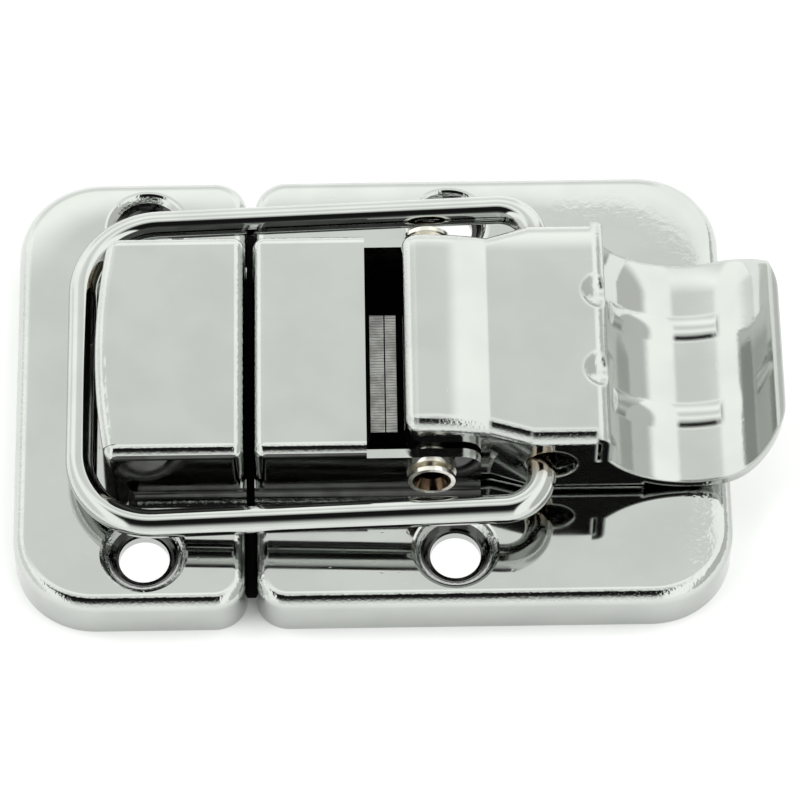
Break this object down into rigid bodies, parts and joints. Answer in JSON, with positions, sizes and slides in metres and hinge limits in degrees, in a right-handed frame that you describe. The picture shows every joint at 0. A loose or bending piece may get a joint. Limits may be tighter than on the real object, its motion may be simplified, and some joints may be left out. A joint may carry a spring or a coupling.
{
  "type": "draw latch",
  "caption": "Chrome case draw latch: a folded lever on a pressed base plate pulls a wire bail over the hook of a separate keeper plate.",
  "frame": {"origin": "on the mounting plane, at the middle of the parting line between the keeper plate and the base plate", "axes": "+X along the latch from the keeper towards the lever's finger scoop, +Y across it, +Z out of the mounting plane"},
  "size_m": [0.0701, 0.0452, 0.0153],
  "materials": {
    "chrome": "bright chrome plate on pressed steel",
    "rivet_brass": "plated brass with a warm tint",
    "spring_steel": "bare sheared spring steel"
  },
  "bodies": {
    "base": {"base_plate": "chrome", "keeper_plate": "chrome", "rivet_front": "rivet_brass", "rivet_back": "rivet_brass", "outer_leaf_spring": "spring_steel", "inner_leaf_spring": "spring_steel"},
    "lever": {"lever": "chrome"},
    "bail": {"wire_bail": "chrome"}
  },
  "joints": [
    {"name": "lever_hinge", "type": "hinge", "parent": "base", "child": "lever", "pos_m": [0.01638, 0, 0.0096], "axis": [0, -1, 0], "range_deg": [0, 90]},
    {"name": "bail_hinge", "type": "hinge", "parent": "lever", "child": "bail", "pos_m": [0.02627, 0, 0.0099], "axis": [0, -1, 0], "range_deg": [-90, 0]}
  ],
  "couplings": [
    {"joint": "bail_hinge", "follows": "lever_hinge", "ratio": -1}
  ]
}
